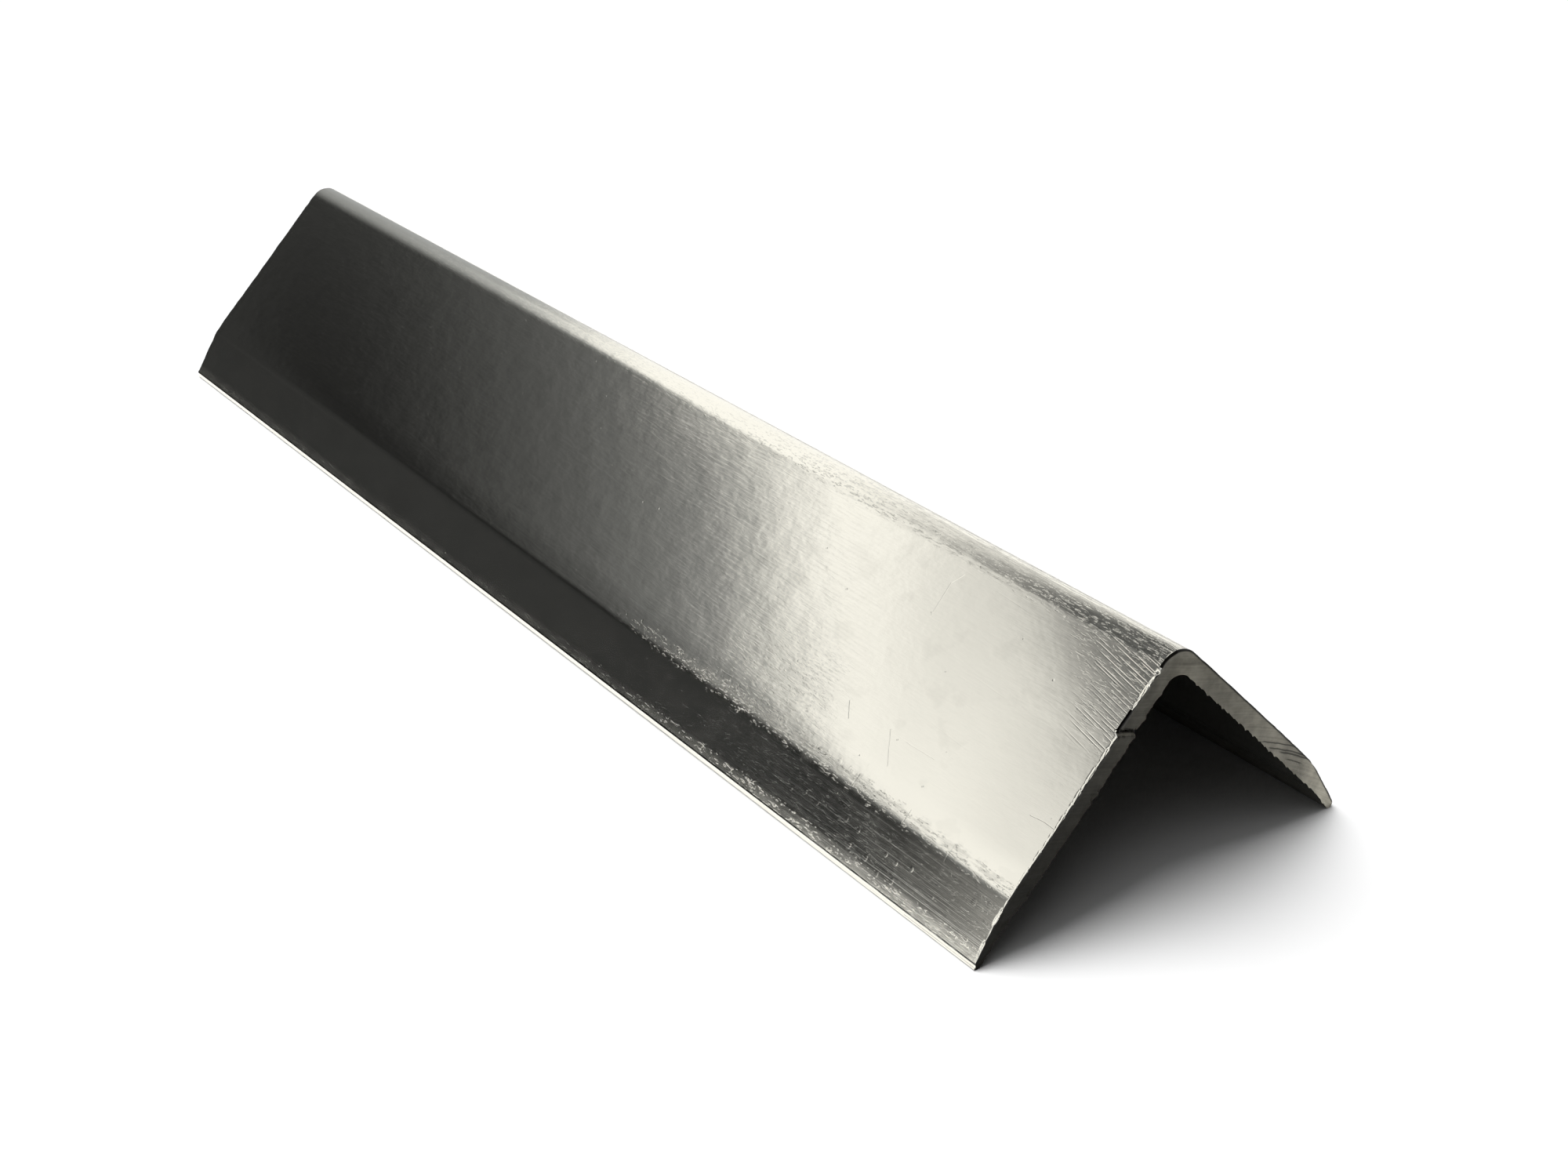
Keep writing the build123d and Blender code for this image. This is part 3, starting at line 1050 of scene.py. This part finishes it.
# Cards for the other sides, out of reach of the photo's camera: half width and half depth or height over the
# distance, and the levels from the far end to the near end.
ROOF = (0.50, 0.80)
ROOF_GLOW = (0.30, 0.62)
ROOF_FADE = 0.6  # share of its size from which it fades out
SIDE_CARD = (0.55, 0.50)
SIDE_GLOW = (0.28, 0.60)
SIDE_FADE = (0.7, 0.5)
CARD_GRADE = (-0.35, 0.35)  # the level changes between these


def staged(name, verts):
    mesh = bpy.data.meshes.new(name)
    mesh.from_pydata(verts, [], [(0, 1, 2, 3)])
    obj = new_object(name, mesh)
    return obj


def object_place(n):
    """X, Y and Z of a sheet, in metres."""
    split = n.add("ShaderNodeSeparateXYZ")
    n.plug(n.add("ShaderNodeTexCoord").outputs["Object"], split.inputs[0])
    return split.outputs


def floor():
    """White ground. It passes on little light, and the metal sees it grow darker to both sides."""
    obj = staged("floor", [(u * FLOOR_SIZE, v * FLOOR_SIZE, 0) for u, v in SQUARE])
    material, n = new_material("white_floor")
    path = n.add("ShaderNodeLightPath")
    bounced = n.least(path.outputs["Diffuse Depth"], 1.0)
    far = n.ramp(n.size(object_place(n)[1]), *FLOOR_POOL)
    far = n.times(far, path.outputs["Is Glossy Ray"])
    colour = n.mix(far, grey(1), grey(FLOOR_FAR))
    diffuse = n.add("ShaderNodeBsdfDiffuse")
    colour = n.mix(bounced, colour, grey(FLOOR_BOUNCE))
    n.plug(colour, diffuse.inputs["Color"])
    n.surface(diffuse)
    obj.data.materials.append(material)


def reflector(obj, look):
    """A studio card that only the metal's gloss sees. look gives its level and how solid it is."""
    material, n = new_material(obj.name)
    level, cover = look(n, *object_place(n))
    glow = n.add("ShaderNodeEmission")
    n.fill(glow, ("Color", "Strength"), (FLAG_TINT, level))
    clear = n.add("ShaderNodeBsdfTransparent")
    mix = n.add("ShaderNodeMixShader")
    n.fill(mix, (0, 1, 2), (cover, clear.outputs[0], glow.outputs[0]))
    n.surface(mix)
    obj.data.materials.append(material)
    for ray in ("camera", "diffuse", "shadow", "transmission"):
        setattr(obj, "visible_" + ray, False)


def flag(name, sides, look, end=-1):
    """A flag square to the stock, off one of its ends. The one off the near end is turned half way round.

    look gets the socket for Y and the socket for Z, over the distance."""
    y0, y1, z0, z1 = (FLAG_AWAY * side for side in sides)
    verts = [(end * FLAG_AWAY, -end * y, z) for y, z in ((y0, z0), (y1, z0), (y1, z1), (y0, z1))]

    def placed(n, x, y, z):
        across = n.times(y, -end / FLAG_AWAY)
        return look(n, across, n.over(z, FLAG_AWAY))

    reflector(staged(name, verts), placed)


def roof():
    """A grey card overhead, which the faces show from both sides."""
    x, y = (FLAG_AWAY * reach for reach in ROOF)
    verts = [(u * x, v * y, FLAG_AWAY) for u, v in SQUARE]

    def look(n, x, y, z):
        places = [n.size(n.over(w, FLAG_AWAY)) for w in (x, y)]
        level = n.ramp(n.over(x, FLAG_AWAY), *CARD_GRADE, *ROOF_GLOW)
        fades = (n.ramp(w, ROOF_FADE * reach, reach, 1.0, 0.0) for w, reach in zip(places, ROOF))
        return level, n.times(*fades)

    reflector(staged("roof_card", verts), look)


def side_card(name, side):
    """A grey card beside the stock, which the faces show from above."""
    width, top = SIDE_CARD
    x, z = FLAG_AWAY * width, FLAG_AWAY * top
    verts = [(u * x, side * FLAG_AWAY, v * z) for u, v in ((-1, 0), (1, 0), (1, 1), (-1, 1))]

    def look(n, x, y, z):
        u, w = (n.over(v, FLAG_AWAY) for v in (x, z))
        level = n.ramp(u, *CARD_GRADE, *SIDE_GLOW)
        end_fade, top_fade = SIDE_FADE
        ends = n.ramp(n.size(u), end_fade * width, width, 1.0, 0.0)
        return level, n.times(ends, n.ramp(w, top_fade * top, top, 1.0, 0.0))

    reflector(staged(name, verts), look)


def low_flag_look(n, u, w):
    """Level and cover of the low flag: it ends in an arc towards +Y, and softly at its other end."""
    middle, half, deep = LOW_NOTCH
    notch = n.ramp(n.apart(u, middle), 0.0, half, deep, 0.0)
    reach = n.plus(n.distance(n.most(u, 0.0), w), notch)
    side = n.ramp(u, *LOW_PALER)
    glow = n.curve(n.over(w, LOW_TOP), LOW_GLOW)
    foot = n.both(w, u, LOW_FOOT)
    level = n.sum((LOW_SIDE, side), (1.0, glow), (1.0, foot))
    return level, n.both(reach, u, LOW_EDGE)


def high_flag_look(n, u, w):
    """Level and cover of the high flag and its veil."""
    off = n.minus(u, HIGH_MIDDLE)
    bowed = n.fused(n.times(off, off), HIGH_BOW, w)
    slant = n.plus(w, u)
    reach = n.distance(u, w)
    corner = n.ramp(n.fused(reach, HIGH_SPREAD, slant), *HIGH_CORNER)
    dark = n.times(n.ramp(bowed, *HIGH_EDGE), corner)
    slant = n.least(n.most(slant, 0.0), VEIL_SLANT)
    veil = n.times(n.fused(slant, *VEIL_WEIGHT), n.ramp(reach, *VEIL_REACH))
    return HIGH_LEVEL, n.most(dark, veil)


WORLD_LIGHT = 0.03
KEY = (2.72, radians(47), Vector((-0.32, -0.20, 1.0)))  # strength, angle and where it comes from
SOFT = (0.82, radians(83), Vector((-0.21, -0.31, 1.0)))


def world():
    """White to the camera and in the metal, but with little light of its own."""
    made = bpy.data.worlds.new("studio")
    bpy.context.scene.world = made
    made.use_nodes = True
    n = Nodes(made.node_tree)
    path = n.add("ShaderNodeLightPath")
    seen = n.most(path.outputs["Is Camera Ray"], path.outputs["Is Glossy Ray"])
    seen = n.most(seen, path.outputs["Is Transmission Ray"])
    seen = n.times(seen, n.math("LESS_THAN", path.outputs["Diffuse Depth"], 0.5))
    background = n.add("ShaderNodeBackground")
    n.fill(background, ("Color", "Strength"), (grey(1), n.ramp(seen, 0.0, 1.0, WORLD_LIGHT, 1.0)))
    n.surface(background, "ShaderNodeOutputWorld")


def lamp(name, strength, angle, come_from):
    """A wide, soft sun. The metal doesn't mirror it."""
    data = bpy.data.lights.new(name, "SUN")
    data.energy = strength
    data.angle = angle
    made = new_object(name, data)
    made.rotation_mode = "QUATERNION"
    made.rotation_quaternion = come_from.to_track_quat("Z", "Y")
    made.visible_glossy = False


NEAR_PLANE = -0.20  # the mean saw cut, from the full length
CAMERA_FROM_HEEL = Vector((85.28, -91.63, 65.82))  # from the sharp heel corner at that cut
CAMERA_RIGHT = Vector((0.57939, 0.81503, -0.00543))
CAMERA_FORWARD = Vector((-0.72900, 0.51523, -0.45066))
FOCAL_SHARE = 2765.09 / 2000.0  # focal length over the picture's width
SENSOR_WIDTH = 36.0
CLIP = (0.005, 100)


def camera():
    data = bpy.data.cameras.new("camera")
    data.sensor_fit = "HORIZONTAL"
    data.sensor_width = SENSOR_WIDTH
    data.lens = FOCAL_SHARE * SENSOR_WIDTH
    data.clip_start, data.clip_end = CLIP
    obj = new_object("camera", data)
    right = CAMERA_RIGHT.normalized()
    back = -(CAMERA_FORWARD - right * CAMERA_FORWARD.dot(right)).normalized()
    up = back.cross(right)
    turn = Matrix((right, up, back)).transposed().to_4x4()
    heel = Vector((HALF_LENGTH + NEAR_PLANE, 0, HEEL_HEIGHT))
    obj.matrix_world = Matrix.Translation((heel + CAMERA_FROM_HEEL) * MM) @ turn
    bpy.context.scene.camera = obj


world()
lamp("key", *KEY)
lamp("soft", *SOFT)
camera()
floor()
flag("low_flag", LOW_FLAG, low_flag_look)
flag("high_flag", HIGH_FLAG, high_flag_look)
flag("near_low_flag", LOW_FLAG, low_flag_look, 1)
flag("near_high_flag", HIGH_FLAG, high_flag_look, 1)
roof()
side_card("left_card", -1)
side_card("right_card", 1)
build_section()

bpy.context.scene.view_settings.view_transform = "Standard"
